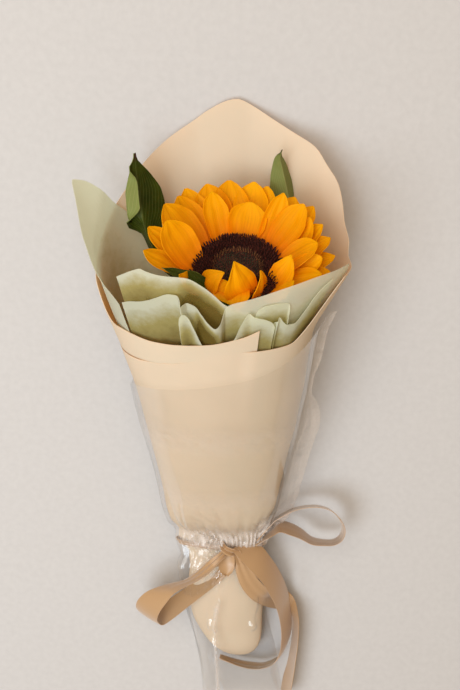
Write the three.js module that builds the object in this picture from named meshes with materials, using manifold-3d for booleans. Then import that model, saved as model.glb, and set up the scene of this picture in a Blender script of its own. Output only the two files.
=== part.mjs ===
// A sunflower bouquet, laid on its back: one sunflower with its leaves, pale green tissue, a rolled cone of
// cream paper, a loose sheet of clear film round it and a tan satin ribbon tied round the waist.
// Millimetres. +Y runs along the bouquet to the flower, +Z is up, and the front of the bouquet faces up.

import * as THREE from "three";
import { mergeVertices } from "three/addons/utils/BufferGeometryUtils.js";
import Module from "manifold-3d";

// Driving dimensions. Lists of pairs give a size at places along Y, joined by straight lines.
const SHEET = 0.6; // thickness of every sheet and blade
const TIE = 102; // middle of the ribbon band
const RIBBON_WIDTH = 20;
const WRAP_HALF_WIDTH = [
  [-50, 32], [20, 31], [64, 33], [84, 31], [96, 25], [110, 25], [122, 33], [160, 41.5], [440, 113.3],
];
const WRAP_HALF_HEIGHT = [
  [-50, 9], [20, 14], [64, 15], [84, 14.5], [96, 12.5], [110, 12.5], [122, 15.5], [440, 94],
];
const WRAP_BOTTOM = [[-50, 3], [0, 3], [24, 0], [84, 0], [96, 1.3], [110, 1.3], [122, 0], [440, 0]];
const WRAP_SHIFT = [[-50, 18], [-5, 11], [44, 2], [84, 2], [96, 5], [110, 5], [122, 1], [140, 0], [440, 0]];
const TIE_ROWS = [84, 96, 110, 122, 140]; // rows that every sheet has round the tie
const FLAT_DEPTH = 1.2; // how far the round section would dip below its flat bed
const REST_MIDDLE = 200; // the flat strip's middle along Y, which becomes the origin

const FLOWER_CENTRE = new THREE.Vector3(9, 342, 75);
const FLOWER_TILT = -60; // degrees about X, from facing up to facing the bouquet's mouth
const DISC_RADIUS = 27.5;
const PETAL_ROOT = 21; // distance of the petals' roots from the disc's middle
const STEM_RADIUS = 4.5;

// Colours
const CREAM = 0xe9d3ae;
const FILM = 0xeef0f0;
const TISSUE = 0xbfc4a6;
const SATIN = 0xc29a69;
const GOLD = 0xf7a80c;
const MAROON = 0x2e1712;
const STEM_GREEN = 0x5b7a35;
const LEAF_GREEN = 0x35562a;

const wasm = await Module();
wasm.setup();

const { clamp, degToRad, lerp, smoothstep } = THREE.MathUtils;
const vector = (x, y, z) => new THREE.Vector3(x, y, z);
const bouquet = new THREE.Group();
bouquet.position.y = -REST_MIDDLE;

// Reads a list of [place, value] pairs at one place, with straight lines between them.
function valueAt(pairs, place) {
  const next = pairs.findIndex(([at]) => at > place);
  if (next === 0) return pairs[0][1];
  if (next < 0) return pairs.at(-1)[1];
  const [[from, low], [to, high]] = [pairs[next - 1], pairs[next]];
  return lerp(low, high, (place - from) / (to - from));
}

// A repeatable row of numbers between 0 and 1.
function seededRandom(seed) {
  let state = seed;
  return () => {
    state = (state * 1664525 + 1013904223) % 4294967296;
    return state / 4294967296;
  };
}

// A closed shell round the surface point(u, v), with u and v from 0 to 1, split alike on both faces.
function sheet(point, across, along, thickness = SHEET) {
  const step = 1e-3;
  const faces = [[], []];
  for (let j = 0; j <= along; j++) {
    for (let i = 0; i <= across; i++) {
      const [u, v] = [i / across, j / along];
      const du = point(Math.min(u + step, 1), v).sub(point(Math.max(u - step, 0), v));
      const dv = point(u, Math.min(v + step, 1)).sub(point(u, Math.max(v - step, 0)));
      const half = du.cross(dv).setLength(thickness / 2);
      faces[0].push(point(u, v).add(half));
      faces[1].push(point(u, v).sub(half));
    }
  }
  const size = (across + 1) * (along + 1);
  const at = (i, j) => j * (across + 1) + i;
  const triangles = [];
  for (let j = 0; j < along; j++) {
    for (let i = 0; i < across; i++) {
      const [a, b, c, d] = [at(i, j), at(i + 1, j), at(i + 1, j + 1), at(i, j + 1)];
      triangles.push(a, b, c, a, c, d);
      triangles.push(size + a, size + c, size + b, size + a, size + d, size + c);
    }
  }
  const rim = (p, q) => triangles.push(q, p, size + p, q, size + p, size + q);
  for (let i = 0; i < across; i++) {
    rim(at(i, 0), at(i + 1, 0));
    rim(at(i + 1, along), at(i, along));
  }
  for (let j = 0; j < along; j++) {
    rim(at(across, j), at(across, j + 1));
    rim(at(0, j + 1), at(0, j));
  }
  const geometry = new THREE.BufferGeometry().setFromPoints(faces.flat());
  geometry.setIndex(triangles);
  return geometry;
}

// Joins closed geometries into one solid, without the specks of air shut in between crossing blades.
function fuse(geometries) {
  const solids = geometries.map((geometry) => {
    const bare = geometry.clone();
    bare.deleteAttribute("normal");
    bare.deleteAttribute("uv");
    const merged = mergeVertices(bare, 1e-4);
    const vertProperties = new Float32Array(merged.attributes.position.array);
    const triVerts = new Uint32Array(merged.index.array);
    return new wasm.Manifold(new wasm.Mesh({ numProp: 3, vertProperties, triVerts }));
  });
  const whole = solids.reduce((joined, next) => joined.add(next));
  const mesh = wasm.Manifold.union(whole.decompose().filter((part) => part.volume() > 0)).getMesh();
  const fused = new THREE.BufferGeometry();
  fused.setAttribute("position", new THREE.BufferAttribute(new Float32Array(mesh.vertProperties), 3));
  fused.setIndex(new THREE.BufferAttribute(new Uint32Array(mesh.triVerts), 1));
  return fused;
}

// Adds one named piece with its own material.
function add(name, geometry, color, roughness, parent = bouquet) {
  const material = new THREE.MeshStandardMaterial({ color, roughness, metalness: 0 });
  const mesh = new THREE.Mesh(geometry, material);
  mesh.name = name;
  parent.add(mesh);
  return mesh;
}

// A place on the flattened cone. Inset counts inwards from the film, and bed is the layer's height above
// the surface the bouquet lies on. Degrees run from the front, over the right side, to the back.
function wrapPoint(degrees, y, inset, bed, close = 1) {
  const angle = degToRad(degrees);
  const width = (valueAt(WRAP_HALF_WIDTH, y) - inset) * close;
  const height = (valueAt(WRAP_HALF_HEIGHT, y) - inset) * close;
  const bottom = bed + valueAt(WRAP_BOTTOM, y);
  const z = bottom - FLAT_DEPTH * close + height * (1 + Math.cos(angle));
  return vector(width * Math.sin(angle) + valueAt(WRAP_SHIFT, y), y, Math.max(z, bottom));
}

// Clear film: from the right side round the back, the left and the front, and off the cone as a loose fin.
const FILM_BED = 0.3;
const FILM_START = 106;
const FILM_LEAVES = 430; // degrees where the fin leaves the cone, at the right of the front
const FILM_SHEET_SHARE = 27 / 30; // share of the grid on the cone, the rest is the fin
const FILM_TOP = [
  [106, 314], [140, 306], [180, 300], [225, 274], [264, 247], [291, 256], [326, 261], [356, 268],
  [378, 274], [398, 285], [422, 302], [430, 311],
];
const FILM_FIN = [
  [-50, 2.5], [84, 2], [96, 0.5], [110, 0.5], [122, 6], [130, 11], [150, 13.5], [178, 17.5], [206, 20],
  [216, 10], [238, 8], [275, 12], [300, 9.5], [314, 5.5],
];
const FILM_FIN_DROP = 0.45; // how far the fin falls for each millimetre it reaches out
const FILM_ROWS = [-50, -24, 0, 24, 44, 64, ...TIE_ROWS, 205, 217];

function filmPoint(u, v) {
  const turned = Math.min(u / FILM_SHEET_SHARE, 1);
  const degrees = lerp(FILM_START, FILM_LEAVES, turned);
  const rows = [...FILM_ROWS, valueAt(FILM_TOP, degrees)];
  const y = valueAt(rows.map((place, index) => [index / (rows.length - 1), place]), v);
  const place = wrapPoint(degrees, y, 0, FILM_BED);
  const fin = (u - FILM_SHEET_SHARE) / (1 - FILM_SHEET_SHARE);
  if (fin <= 0) return place;
  const reach = valueAt(FILM_FIN, y);
  return place.add(vector(fin * reach, 0, -FILM_FIN_DROP * fin * reach));
}
add("film_wrap", sheet(filmPoint, 30, FILM_ROWS.length), FILM, 0.08);

// Cream paper: rolled from the inner flap at the front round the left, the back and the right, and over
// itself to the left again. The tail below the tie closes to a round pouch.
const PAPER_START = 20;
const PAPER_SWEEP = -490;
const PAPER_INSET = [4.5, 2.6]; // from the film, at the inner and the outer edge
const PAPER_BED_RISE = 1.3; // a layer's bed lies this much below its inset
const PAPER_TOP = [
  [-470, 286], [-435, 281], [-418, 282], [-396, 283], [-382, 286], [-367, 292], [-338, 296], [-320, 297],
  [-310, 304], [-303, 310], [-296, 330], [-280, 334], [-259, 331], [-258, 343], [-247, 358], [-242, 370],
  [-237, 383], [-229, 395], [-218, 407], [-205, 419], [-192, 430], [-182, 435], [-176, 434], [-165, 423],
  [-155, 411], [-143, 397], [-130, 379], [-120, 363], [-106, 341], [-94, 324], [-80, 317], [-61, 310],
  [-44, 301], [-14, 300], [6, 303], [20, 309],
];
const PAPER_TAIL = [[-470, -5], [-132, -5], [-100, 22], [20, 22]];
const POUCH_FROM = 44; // the pouch rounds off below this place
const POUCH_LENGTH = 52;
const PAPER_FLAT_FROM = 24; // the tail's rows end here, and the straight part of the roll begins

function paperPoint(u, v) {
  const degrees = PAPER_START + PAPER_SWEEP * u;
  const inset = lerp(PAPER_INSET[0], PAPER_INSET[1], u);
  const tail = valueAt(PAPER_TAIL, degrees);
  const top = valueAt(PAPER_TOP, degrees);
  const tailRows = [0, 0.2, 0.55, 1].map((share) => lerp(tail, PAPER_FLAT_FROM, share));
  const rows = [...tailRows, 44, 64, ...TIE_ROWS, top];
  const y = valueAt(rows.map((place, index) => [index / (rows.length - 1), place]), v);
  const close = Math.sqrt(1 - Math.max(0, (POUCH_FROM - y) / POUCH_LENGTH) ** 2);
  return wrapPoint(degrees, y, inset, inset - PAPER_BED_RISE, close);
}
add("paper_wrap", sheet(paperPoint, 49, 11), CREAM, 0.75);

// Pale green tissue. Three sheets lie against the paper low down and leave it towards the mouth: each is a
// lip outline over a span of degrees, and push is how far it stands in from the wall at a place.
const TISSUE_FOOT = [110, 122, 140];
const TISSUE_ROWS = 7;

function tissuePoint(lip, span, layer, push) {
  return (u, v) => {
    const degrees = lerp(span[0], span[1], u);
    const rows = [...TISSUE_FOOT];
    for (let share = 1; share <= TISSUE_ROWS - 2; share++) {
      rows.push(lerp(TISSUE_FOOT[2], valueAt(lip, degrees), 1 - (1 - share / (TISSUE_ROWS - 2)) ** 1.4));
    }
    const y = valueAt(rows.map((place, index) => [index / TISSUE_ROWS, place]), v);
    const wall = wrapPoint(degrees, y, layer.inset, layer.bed);
    const axis = vector(valueAt(WRAP_SHIFT, y), y, layer.bed + valueAt(WRAP_HALF_HEIGHT, y) - layer.inset);
    const inwards = axis.sub(wall).normalize();
    return wall.addScaledVector(inwards, push(degrees, y));
  };
}
const OUTER_LAYER = { inset: 5.7, bed: 4.4 };
const INNER_LAYER = { inset: 7, bed: 5.7 };

const LEFT_SPAN = [-160, -50];
const LEFT_LIP = [
  [-160, 330], [-143, 352], [-132, 366], [-122, 376], [-112, 389], [-106, 391], [-98, 372], [-88, 350],
  [-76, 326], [-62, 308], [-50, 296],
];
const LEFT_CLEAR = [[-160, 440], [-140, 410], [-120, 378], [-110, 362], [-98, 350], [-86, 336], [-50, 316]];
function leftPush(degrees, y) {
  const past = Math.max(0, y - valueAt(LEFT_CLEAR, degrees));
  const wave = 0.3 * smoothstep(y, 220, 330) * (1 + Math.sin(degToRad(degrees) * 9));
  return wave - 0.26 * past;
}
const leftPoint = tissuePoint(LEFT_LIP, LEFT_SPAN, OUTER_LAYER, leftPush);
add("tissue_left", sheet(leftPoint, 22, TISSUE_ROWS), TISSUE, 0.8);

const FRONT_SPAN = [-76, 74];
const FRONT_LIP = [
  [-76, 328], [-68, 335], [-54, 348], [-40, 347], [-25, 348], [-14, 342], [-4, 335], [3, 329], [20, 333],
  [36, 337], [54, 342], [64, 346], [74, 342],
];
function frontPush(degrees, y) {
  const middle = Math.cos(degToRad(degrees * 1.1));
  return (0.4 + 6 * middle ** 3) * smoothstep(y, 200, 335);
}
const frontPoint = tissuePoint(FRONT_LIP, FRONT_SPAN, INNER_LAYER, frontPush);
add("tissue_front", sheet(frontPoint, 22, TISSUE_ROWS), TISSUE, 0.8);

const RUFFLE_SPAN = [-40, 60];
const RUFFLE_LIP = [
  [-40, 312], [-30, 328], [-22, 330], [-12, 316], [-4, 312], [4, 326], [10, 318], [20, 320], [28, 310],
  [34, 318], [44, 314], [52, 320], [60, 328],
];
function rufflePush(degrees, y) {
  const fold = 0.5 - 0.5 * Math.cos(degToRad((degrees - RUFFLE_SPAN[0]) * 14.4));
  return 0.85 * fold * frontPush(degrees, y);
}
const rufflePoint = tissuePoint(RUFFLE_LIP, RUFFLE_SPAN, OUTER_LAYER, rufflePush);
add("tissue_ruffle", sheet(rufflePoint, 26, TISSUE_ROWS), TISSUE, 0.8);

// Sunflower head, built facing up round its own middle and tilted towards the mouth: local +X stays the
// bouquet's right and local +Y points to the back flap.
const head = new THREE.Group();
head.position.copy(FLOWER_CENTRE);
head.rotation.x = degToRad(FLOWER_TILT);
bouquet.add(head);

// Disc: a dome with a raised outer ring, covered in florets along two sets of crossing spirals.
function discPoint(share, angle) {
  const ring = smoothstep(share, 0.42, 0.66) * (1 - smoothstep(share, 0.86, 1));
  const floret = Math.sin(13 * angle + 40 * share) * Math.sin(21 * angle - 40 * share);
  const relief = share < 0.97 ? 0.9 * floret * smoothstep(share, 0.05, 0.3) : 0;
  const height = 0.5 + 3.4 * Math.sqrt(1 - share * share) + 3.6 * ring + relief;
  return vector(DISC_RADIUS * share * Math.cos(angle), DISC_RADIUS * share * Math.sin(angle), height);
}

function discSolid() {
  const [rings, sides] = [10, 48];
  const points = [vector(0, 0, 0), discPoint(0, 0)];
  const triangles = [];
  const at = (ring, side) => 2 + (ring - 1) * sides + (side % sides);
  for (let ring = 1; ring <= rings; ring++) {
    for (let side = 0; side < sides; side++) {
      points.push(discPoint(ring / rings, (side / sides) * 2 * Math.PI));
    }
  }
  const base = points.length;
  for (let side = 0; side < sides; side++) {
    const angle = (side / sides) * 2 * Math.PI;
    points.push(vector(DISC_RADIUS * Math.cos(angle), DISC_RADIUS * Math.sin(angle), 0));
  }
  for (let side = 0; side < sides; side++) {
    triangles.push(1, at(1, side), at(1, side + 1));
    for (let ring = 1; ring < rings; ring++) {
      const [a, b] = [at(ring, side), at(ring, side + 1)];
      const [c, d] = [at(ring + 1, side + 1), at(ring + 1, side)];
      triangles.push(a, d, c, a, c, b);
    }
    const [p, q] = [base + side, base + ((side + 1) % sides)];
    triangles.push(at(rings, side), p, q, at(rings, side), q, at(rings, side + 1));
    triangles.push(0, q, p);
  }
  const geometry = new THREE.BufferGeometry().setFromPoints(points);
  geometry.setIndex(triangles);
  return geometry;
}
add("flower_disc", discSolid(), MAROON, 0.8, head).position.z = 0.3;

// One blade that grows outwards from a root: it rises by angles, spreads to its width, hollows and twists.
function bladePoint(blade) {
  const { turn, root, lift, length, width, rise, hollow, twist, tipWidth = 0.2, rootWidth = 0.5 } = blade;
  const outwards = vector(Math.cos(degToRad(turn)), Math.sin(degToRad(turn)), 0);
  const sideways = vector(-outwards.y, outwards.x, 0);
  return (u, v) => {
    let [out, up] = [root, lift];
    const steps = 12;
    for (let k = 0; k < steps; k++) {
      const angle = degToRad(lerp(rise[0], rise[1], (((k + 0.5) / steps) * v) ** 1.4));
      out += (Math.cos(angle) * length * v) / steps;
      up += (Math.sin(angle) * length * v) / steps;
    }
    const slope = degToRad(lerp(rise[0], rise[1], v ** 1.4));
    const normal = outwards.clone().multiplyScalar(-Math.sin(slope)).add(vector(0, 0, Math.cos(slope)));
    const grow = lerp(rootWidth, 1, Math.sin((Math.PI / 2) * clamp(v / 0.55, 0, 1)));
    const narrow = Math.sqrt(1 - (Math.max(0, v - 0.55) / 0.45) ** 2 * (1 - tipWidth ** 2));
    const half = (u - 0.5) * width * grow * narrow;
    const turned = degToRad(twist * v);
    const bowl = hollow * (4 * (u - 0.5) ** 2 - 0.5) * width * grow * narrow;
    return outwards.clone().multiplyScalar(out).add(vector(0, 0, up))
      .addScaledVector(sideways, half * Math.cos(turned) - bowl * Math.sin(turned))
      .addScaledVector(normal, half * Math.sin(turned) + bowl * Math.cos(turned));
  };
}

// Ray petals: two whorls with seeded draws and the front ones set by hand, all rooted in one flat core.
const petalRandom = seededRandom(27);
const spread = (amount) => (petalRandom() * 2 - 1) * amount;
const BACK_WHORL = { count: 16, rise: [6, 26], lift: -5.2, length: 43, width: 20 };
const FRONT_WHORL = { count: 14, rise: [15, 44], lift: -4.2, length: 40, width: 17 };
const petals = [];
for (const whorl of [BACK_WHORL, FRONT_WHORL]) {
  for (let index = 0; index < whorl.count; index++) {
    const turn = ((index + 0.5) / whorl.count) * 360 + spread(3.5);
    const facing = Math.max(0, -Math.sin(degToRad(turn))) ** 1.5; // 1 at the very front of the flower
    if (whorl === FRONT_WHORL && facing > 0.55) continue;
    petals.push({
      turn,
      root: PETAL_ROOT,
      lift: whorl.lift,
      length: whorl.length * (1 - 0.35 * facing) + spread(2),
      width: whorl.width + spread(1.5),
      rise: [whorl.rise[0] + 8 * facing + spread(3), whorl.rise[1] + 84 * facing + spread(8)],
      hollow: 0.16 + spread(0.06),
      twist: spread(14),
    });
  }
}
const CURLED = [
  { turn: 236, length: 27, width: 14, rise: [52, 96], twist: 20 },
  { turn: 254, length: 24, width: 12, rise: [66, 150], twist: -25 },
  { turn: 272, length: 26, width: 13, rise: [70, 138], twist: 30 },
  { turn: 288, length: 30, width: 15, rise: [62, 118], twist: -18 },
  { turn: 306, length: 28, width: 14, rise: [48, 92], twist: 15 },
];
for (const curled of CURLED) {
  petals.push({ ...curled, root: DISC_RADIUS + 1.7, lift: -4, hollow: 0.16 });
}
const PETAL_THICKNESS = 0.7;
const core = new THREE.CylinderGeometry(DISC_RADIUS + 3.5, DISC_RADIUS + 1, 3.4, 24).rotateX(Math.PI / 2);
core.translate(0, 0, -4.3);
const blades = petals.map((petal) => sheet(bladePoint(petal), 3, 4, PETAL_THICKNESS));
add("ray_petals", fuse([core, ...blades]), GOLD, 0.55, head);

// Stem and calyx: one green growth. The stem runs from the pouch through the tie to the cup under the head,
// and two whorls of bracts stand out behind the petals.
const STEM_PATH = [
  vector(5, 14, 11.5), vector(3, 55, 9.4), vector(4, TIE, 9.2), vector(3, 150, 17), vector(4.5, 220, 34),
  vector(7, 280, 49), vector(8.6, 312, 58.6), vector(9, 330, 68),
];

function roundSection(radius, sides) {
  const section = new THREE.Shape();
  for (let side = 0; side < sides; side++) {
    const angle = (side / sides) * 2 * Math.PI;
    const [x, y] = [radius * Math.cos(angle), radius * Math.sin(angle)];
    if (side === 0) section.moveTo(x, y);
    else section.lineTo(x, y);
  }
  return section;
}
const stemPath = new THREE.CatmullRomCurve3(STEM_PATH);
const stemRod = new THREE.ExtrudeGeometry(roundSection(STEM_RADIUS, 9), { steps: 16, extrudePath: stemPath });

const cupProfile = [[0, -16.8], [7, -15.8], [17, -12.8], [24, -10.3], [26, -8.4], [26, -7.2], [0, -7.2]];
const cupPoints = cupProfile.map(([x, y]) => new THREE.Vector2(x, y));
const cup = new THREE.LatheGeometry(cupPoints, 20).rotateX(Math.PI / 2);
const BRACT_COUNT = 13;
const bractRandom = seededRandom(7);
const bracts = [];
for (let index = 0; index < BRACT_COUNT; index++) {
  const turn = (index / BRACT_COUNT) * 360 + (bractRandom() - 0.5) * 6;
  const facing = Math.max(0, -Math.sin(degToRad(turn))) ** 2;
  bracts.push(sheet(bladePoint({
    turn,
    root: 20,
    lift: -10,
    length: 21 + bractRandom() * 5,
    width: 11,
    rise: [-12, 4 + 60 * facing],
    hollow: 0.12,
    twist: 0,
    tipWidth: 0.1,
    rootWidth: 0.9,
  }), 2, 2, PETAL_THICKNESS));
}
head.updateMatrix();
const calyx = fuse([cup, ...bracts]).applyMatrix4(head.matrix);
add("stem_and_calyx", fuse([stemRod, calyx]), STEM_GREEN, 0.7);

// Leaves: pointed blades on a midrib curve, folded along it, whose petioles start at the stem's side.
function leaf({ midrib, width, fold, side }) {
  const curve = new THREE.CatmullRomCurve3(midrib.map((place) => vector(...place)));
  const across = vector(...side).normalize();
  const point = (u, v) => {
    const shape = Math.max(0.08, Math.sin(Math.PI * clamp((v - 0.12) / 0.9, 0, 1)) ** 0.8);
    const half = (u - 0.5) * width * shape;
    const along = curve.getTangent(v);
    const out = across.clone().addScaledVector(along, -across.dot(along)).normalize();
    const up = out.clone().cross(along).normalize();
    const ripple = 0.5 * Math.sin(v * 16) * (2 * u - 1) ** 2;
    const rise = Math.abs(half) * Math.tan(degToRad(fold)) + ripple;
    return curve.getPoint(v).addScaledVector(out, half).addScaledVector(up, rise);
  };
  return sheet(point, 4, 10);
}
const LEFT_LEAF = {
  midrib: [[0.1, 262, 44], [-24, 298, 42], [-43, 334, 37], [-52, 370, 34], [-58, 404, 39]],
  width: 30,
  fold: 32,
  side: [1, 0.35, 0.1],
};
const RIGHT_LEAF = {
  midrib: [[9.8, 240, 35.2], [20, 285, 28], [30, 330, 21], [35, 370, 20], [38, 404, 25]],
  width: 22,
  fold: 26,
  side: [1, -0.2, 0],
};
const LOW_LEAF = {
  midrib: [[1.6, 283, 52.4], [-9, 302, 66], [-20, 315, 72], [-34, 325, 73], [-48, 332, 71]],
  width: 18,
  fold: 18,
  side: [0.5, 0.9, -0.5],
};
add("leaf_left", leaf(LEFT_LEAF), LEAF_GREEN, 0.6);
add("leaf_right", leaf(RIGHT_LEAF), LEAF_GREEN, 0.6);
add("leaf_low", leaf(LOW_LEAF), LEAF_GREEN, 0.6);

// Ribbon: strips along hand-set routes, each with the direction its width points in, all fused to the knot.
function strip(route, widthways, width = RIBBON_WIDTH, steps = 14) {
  const curve = new THREE.CatmullRomCurve3(route.map((place) => vector(...place)));
  const sides = new THREE.CatmullRomCurve3(widthways.map((side) => vector(...side)));
  const point = (u, v) => {
    const place = curve.getPoint(v).addScaledVector(sides.getPoint(v).normalize(), (u - 0.5) * width);
    return place.setZ(Math.max(place.z, SHEET));
  };
  return sheet(point, 1, steps);
}
const BAND_HALF_WIDTH = 5; // the ribbon is gathered to half its width round the tie
const BAND_SWEEP = 348; // stops short of where the film's fin leaves the cone
const BAND_STAND = 1.1; // from the middle of the film to the middle of the band

function bandPoint(u, v) {
  const y = lerp(TIE - BAND_HALF_WIDTH, TIE + BAND_HALF_WIDTH, v);
  return wrapPoint(FILM_START + BAND_SWEEP * u, y, -BAND_STAND, FILM_BED - BAND_STAND);
}
const band = sheet(bandPoint, 29, 1);
const knot = new THREE.SphereGeometry(1, 12, 8).scale(8, 9, 5).translate(4, TIE + 1, 31);
const LEFT_LOOP = strip(
  [[2, 103, 32.5], [-12, 95, 38], [-33, 79, 43], [-50, 67, 43], [-61, 53, 37], [-57, 43, 29], [-38, 51, 33],
    [-18, 68, 38], [2, 98, 32.5]],
  [[0.3, 0.9, 0.2], [0.5, -0.3, 0.8], [0.75, -0.6, 0.25], [0.5, -0.3, 0.8], [0.3, -0.9, 0.2]],
);
const RIGHT_LOOP = strip(
  [[6, 104, 31], [22, 106, 30], [37, 111, 24], [50, 120, 21], [68, 135, 22], [84, 130, 22], [83, 112, 21],
    [66, 107, 21], [49, 114, 21], [38, 105, 23], [22, 101, 30], [6, 101, 31]],
  [[0, 1, 0.1], [-0.1, 0.8, 0.6], [0.1, 0.3, 0.95], [0.1, 0.3, 0.95], [-0.1, 0.8, 0.6], [0, 1, 0.1]],
  14,
  20,
);
const LONG_TAIL = strip(
  [[5, 103, 31], [20, 90, 38], [37, 68, 36], [49, 44, 24], [51, 18, 12], [44, -3, 3.4], [27, -11, 0.9],
    [6, -10, 0.6]],
  [[0.9, 0.6, 0.1], [0.9, 0.4, -0.3], [0.6, 0.2, 0.9], [0.1, 1, 0.1], [0, 1, 0]],
);
const SHORT_TAIL = strip(
  [[5, 101, 31], [26, 80, 33], [47, 50, 28], [57, 22, 17], [56, -8, 12], [51, -38, 11]],
  [[0.9, 0.5, 0.1], [0.9, 0.4, -0.3], [0.4, 0, 0.9], [0.3, 0, 0.9]],
);
const TONGUE = strip([[4, 100, 31], [4, 90, 34], [6, 80, 33]], [[1, 0, 0], [1, 0.1, 0]], 12, 4);
add("ribbon", fuse([band, knot, LEFT_LOOP, RIGHT_LOOP, LONG_TAIL, SHORT_TAIL, TONGUE]), SATIN, 0.4);

export default bouquet;
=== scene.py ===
import bisect
import math
import random

import bpy
from mathutils import Matrix, Vector, noise


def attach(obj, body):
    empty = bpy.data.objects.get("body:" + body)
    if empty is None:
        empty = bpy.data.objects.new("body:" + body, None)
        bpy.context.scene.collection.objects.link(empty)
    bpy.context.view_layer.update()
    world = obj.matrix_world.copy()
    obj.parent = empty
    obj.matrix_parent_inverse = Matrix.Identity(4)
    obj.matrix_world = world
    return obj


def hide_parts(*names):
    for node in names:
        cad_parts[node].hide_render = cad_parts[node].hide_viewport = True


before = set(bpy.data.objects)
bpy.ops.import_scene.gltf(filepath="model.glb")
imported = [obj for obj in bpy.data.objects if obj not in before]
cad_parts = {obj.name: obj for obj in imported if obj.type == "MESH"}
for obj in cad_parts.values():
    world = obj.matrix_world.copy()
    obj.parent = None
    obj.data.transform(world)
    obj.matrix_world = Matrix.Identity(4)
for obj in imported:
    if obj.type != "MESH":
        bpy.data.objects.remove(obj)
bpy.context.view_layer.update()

MM = 0.001

# ------------------------
# Studio. The bouquet lies on a pale matt floor and is seen from above, a little from its head end.
# One broad soft light stands to the left, as a window would, with a weaker one over the head and a warm room.

CAMERA_PLACE = (0.0043, 0.29944, 0.66084)
CAMERA_TILT = math.radians(-20)
FLOOR_WIDTH, FLOOR_LEVEL = 7, -0.0006

camera_data = bpy.data.cameras.new("photo_camera")
camera_data.lens = 50.0
camera_data.sensor_width = 36.0
camera_data.clip_start = 0.02


def in_scene(name, data):
    """A new object of the scene."""
    thing = bpy.data.objects.new(name, data)
    bpy.context.scene.collection.objects.link(thing)
    return thing


camera = in_scene("photo_camera", camera_data)
camera.location = CAMERA_PLACE
camera.rotation_euler = (CAMERA_TILT, 0, 0)
bpy.context.scene.camera = camera
bpy.context.scene.view_settings.view_transform = "Standard"


def soft_light(name, place, aim, size, power, color):
    """A round area light aimed at a place."""
    lamp = bpy.data.lights.new(name, "AREA")
    lamp.shape = "DISK"
    lamp.size = size
    lamp.energy = power
    lamp.color = color
    light = in_scene(name, lamp)
    light.location = place
    light.rotation_euler = (Vector(aim) - Vector(place)).to_track_quat("-Z", "Y").to_euler()


soft_light("window_light", (-0.74, -0.24, 1.5), (0, 0.02, 0.03), 1.25, 22.5, (0.81, 0.91, 1.0))
soft_light("head_light", (-0.3, 0.75, 1.25), (0, 0.16, 0.05), 1.2, 10.5, (1.0, 0.98, 0.93))

world = bpy.data.worlds.new("room_light")
world.use_nodes = True
background = world.node_tree.nodes["Background"].inputs
background["Color"].default_value = (1.0, 0.75, 0.50, 1)
background["Strength"].default_value = 0.60
bpy.context.scene.world = world


def new_finish(name, roughness, specular):
    """A new material with its node tree and its own shader."""
    finish = bpy.data.materials.new(name)
    finish.use_nodes = True
    shader = finish.node_tree.nodes["Principled BSDF"]
    shader.inputs["Roughness"].default_value = roughness
    shader.inputs["Specular IOR Level"].default_value = specular
    return finish, finish.node_tree, shader


def node(tree, kind, inputs=None, **settings):
    """A new node, with numbers, colours or sockets as its inputs."""
    made = tree.nodes.new("ShaderNode" + kind)
    for name, value in settings.items():
        setattr(made, name, value)
    for name, value in (inputs or {}).items():
        if isinstance(value, bpy.types.NodeSocket):
            tree.links.new(value, made.inputs[name])
        else:
            made.inputs[name].default_value = value
    return made


def ramp(tree, factor, stops):
    """A colour socket that runs through (place, colour) stops."""
    made = node(tree, "ValToRGB", {"Fac": factor})
    elements = made.color_ramp.elements
    while len(elements) < len(stops):
        elements.new(0.5)
    for element, (place, color) in zip(elements, stops):
        element.position = place
        element.color = (*color, 1)
    return made.outputs["Color"]


def object_noise(tree, scale, detail, **inputs):
    """A noise socket over the piece's own coordinates."""
    place = node(tree, "TexCoord").outputs["Object"]
    inputs = {"Vector": place, "Scale": scale, "Detail": detail, **inputs}
    return node(tree, "TexNoise", inputs).outputs["Fac"]


def mottled(name, roughness, specular, scale, detail, stops):
    """A finish whose colour wanders through stops."""
    finish, tree, shader = new_finish(name, roughness, specular)
    tree.links.new(ramp(tree, object_noise(tree, scale, detail), stops), shader.inputs["Base Color"])
    return finish, tree, shader


def fresh(add, **settings):
    """A new basic mesh, as the only selected object and with its place and turn applied."""
    bpy.ops.object.select_all(action="DESELECT")
    add(**settings)
    bpy.ops.object.transform_apply(location=True, rotation=True, scale=True)
    return bpy.context.object


floor = fresh(bpy.ops.mesh.primitive_plane_add, size=FLOOR_WIDTH, location=(0, 0, FLOOR_LEVEL))
floor.name = "studio_floor"
floor.data.materials.append(mottled("studio_floor", 0.9, 0.2, 220.0, 3.0, [
    (0.3, (0.47, 0.462, 0.462)), (0.7, (0.495, 0.487, 0.487))])[0])

# ------------------------
# Stem and calyx. A cut green stem runs up the middle of the roll to a shallow cup of green flesh under the
# head. Two whorls of pointed bracts grow from the cup and stand behind the petals.

STEM_ROUTE = [(5, 14, 11.5), (3, 55, 9.4), (4, 102, 9.2), (3, 150, 17), (4.5, 220, 34), (7, 280, 49),
              (8.6, 312, 58.6), (9, 330, 68)]
STEM_RADIUS = 4.5
# The cup's height from the head's own place, and its radius there, from below.
CUP_STEPS = [(-16.8, 2), (-15.8, 7), (-12.8, 17), (-10.3, 24), (-8.2, 26.5), (-7.0, 26.5)]
BRACT_COUNT, BRACT_LENGTH, BRACT_WIDTH = 13, 24, 11
BRACT_REACH, BRACT_LEVEL = 20, -10.5
HEAD_PLACE = Matrix.Translation((0.009, 0.138, 0.075)) @ Matrix.Rotation(math.radians(-60), 4, "X")


def alone(thing):
    """Selects one object only."""
    bpy.ops.object.select_all(action="DESELECT")
    thing.select_set(True)
    bpy.context.view_layer.objects.active = thing


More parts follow.
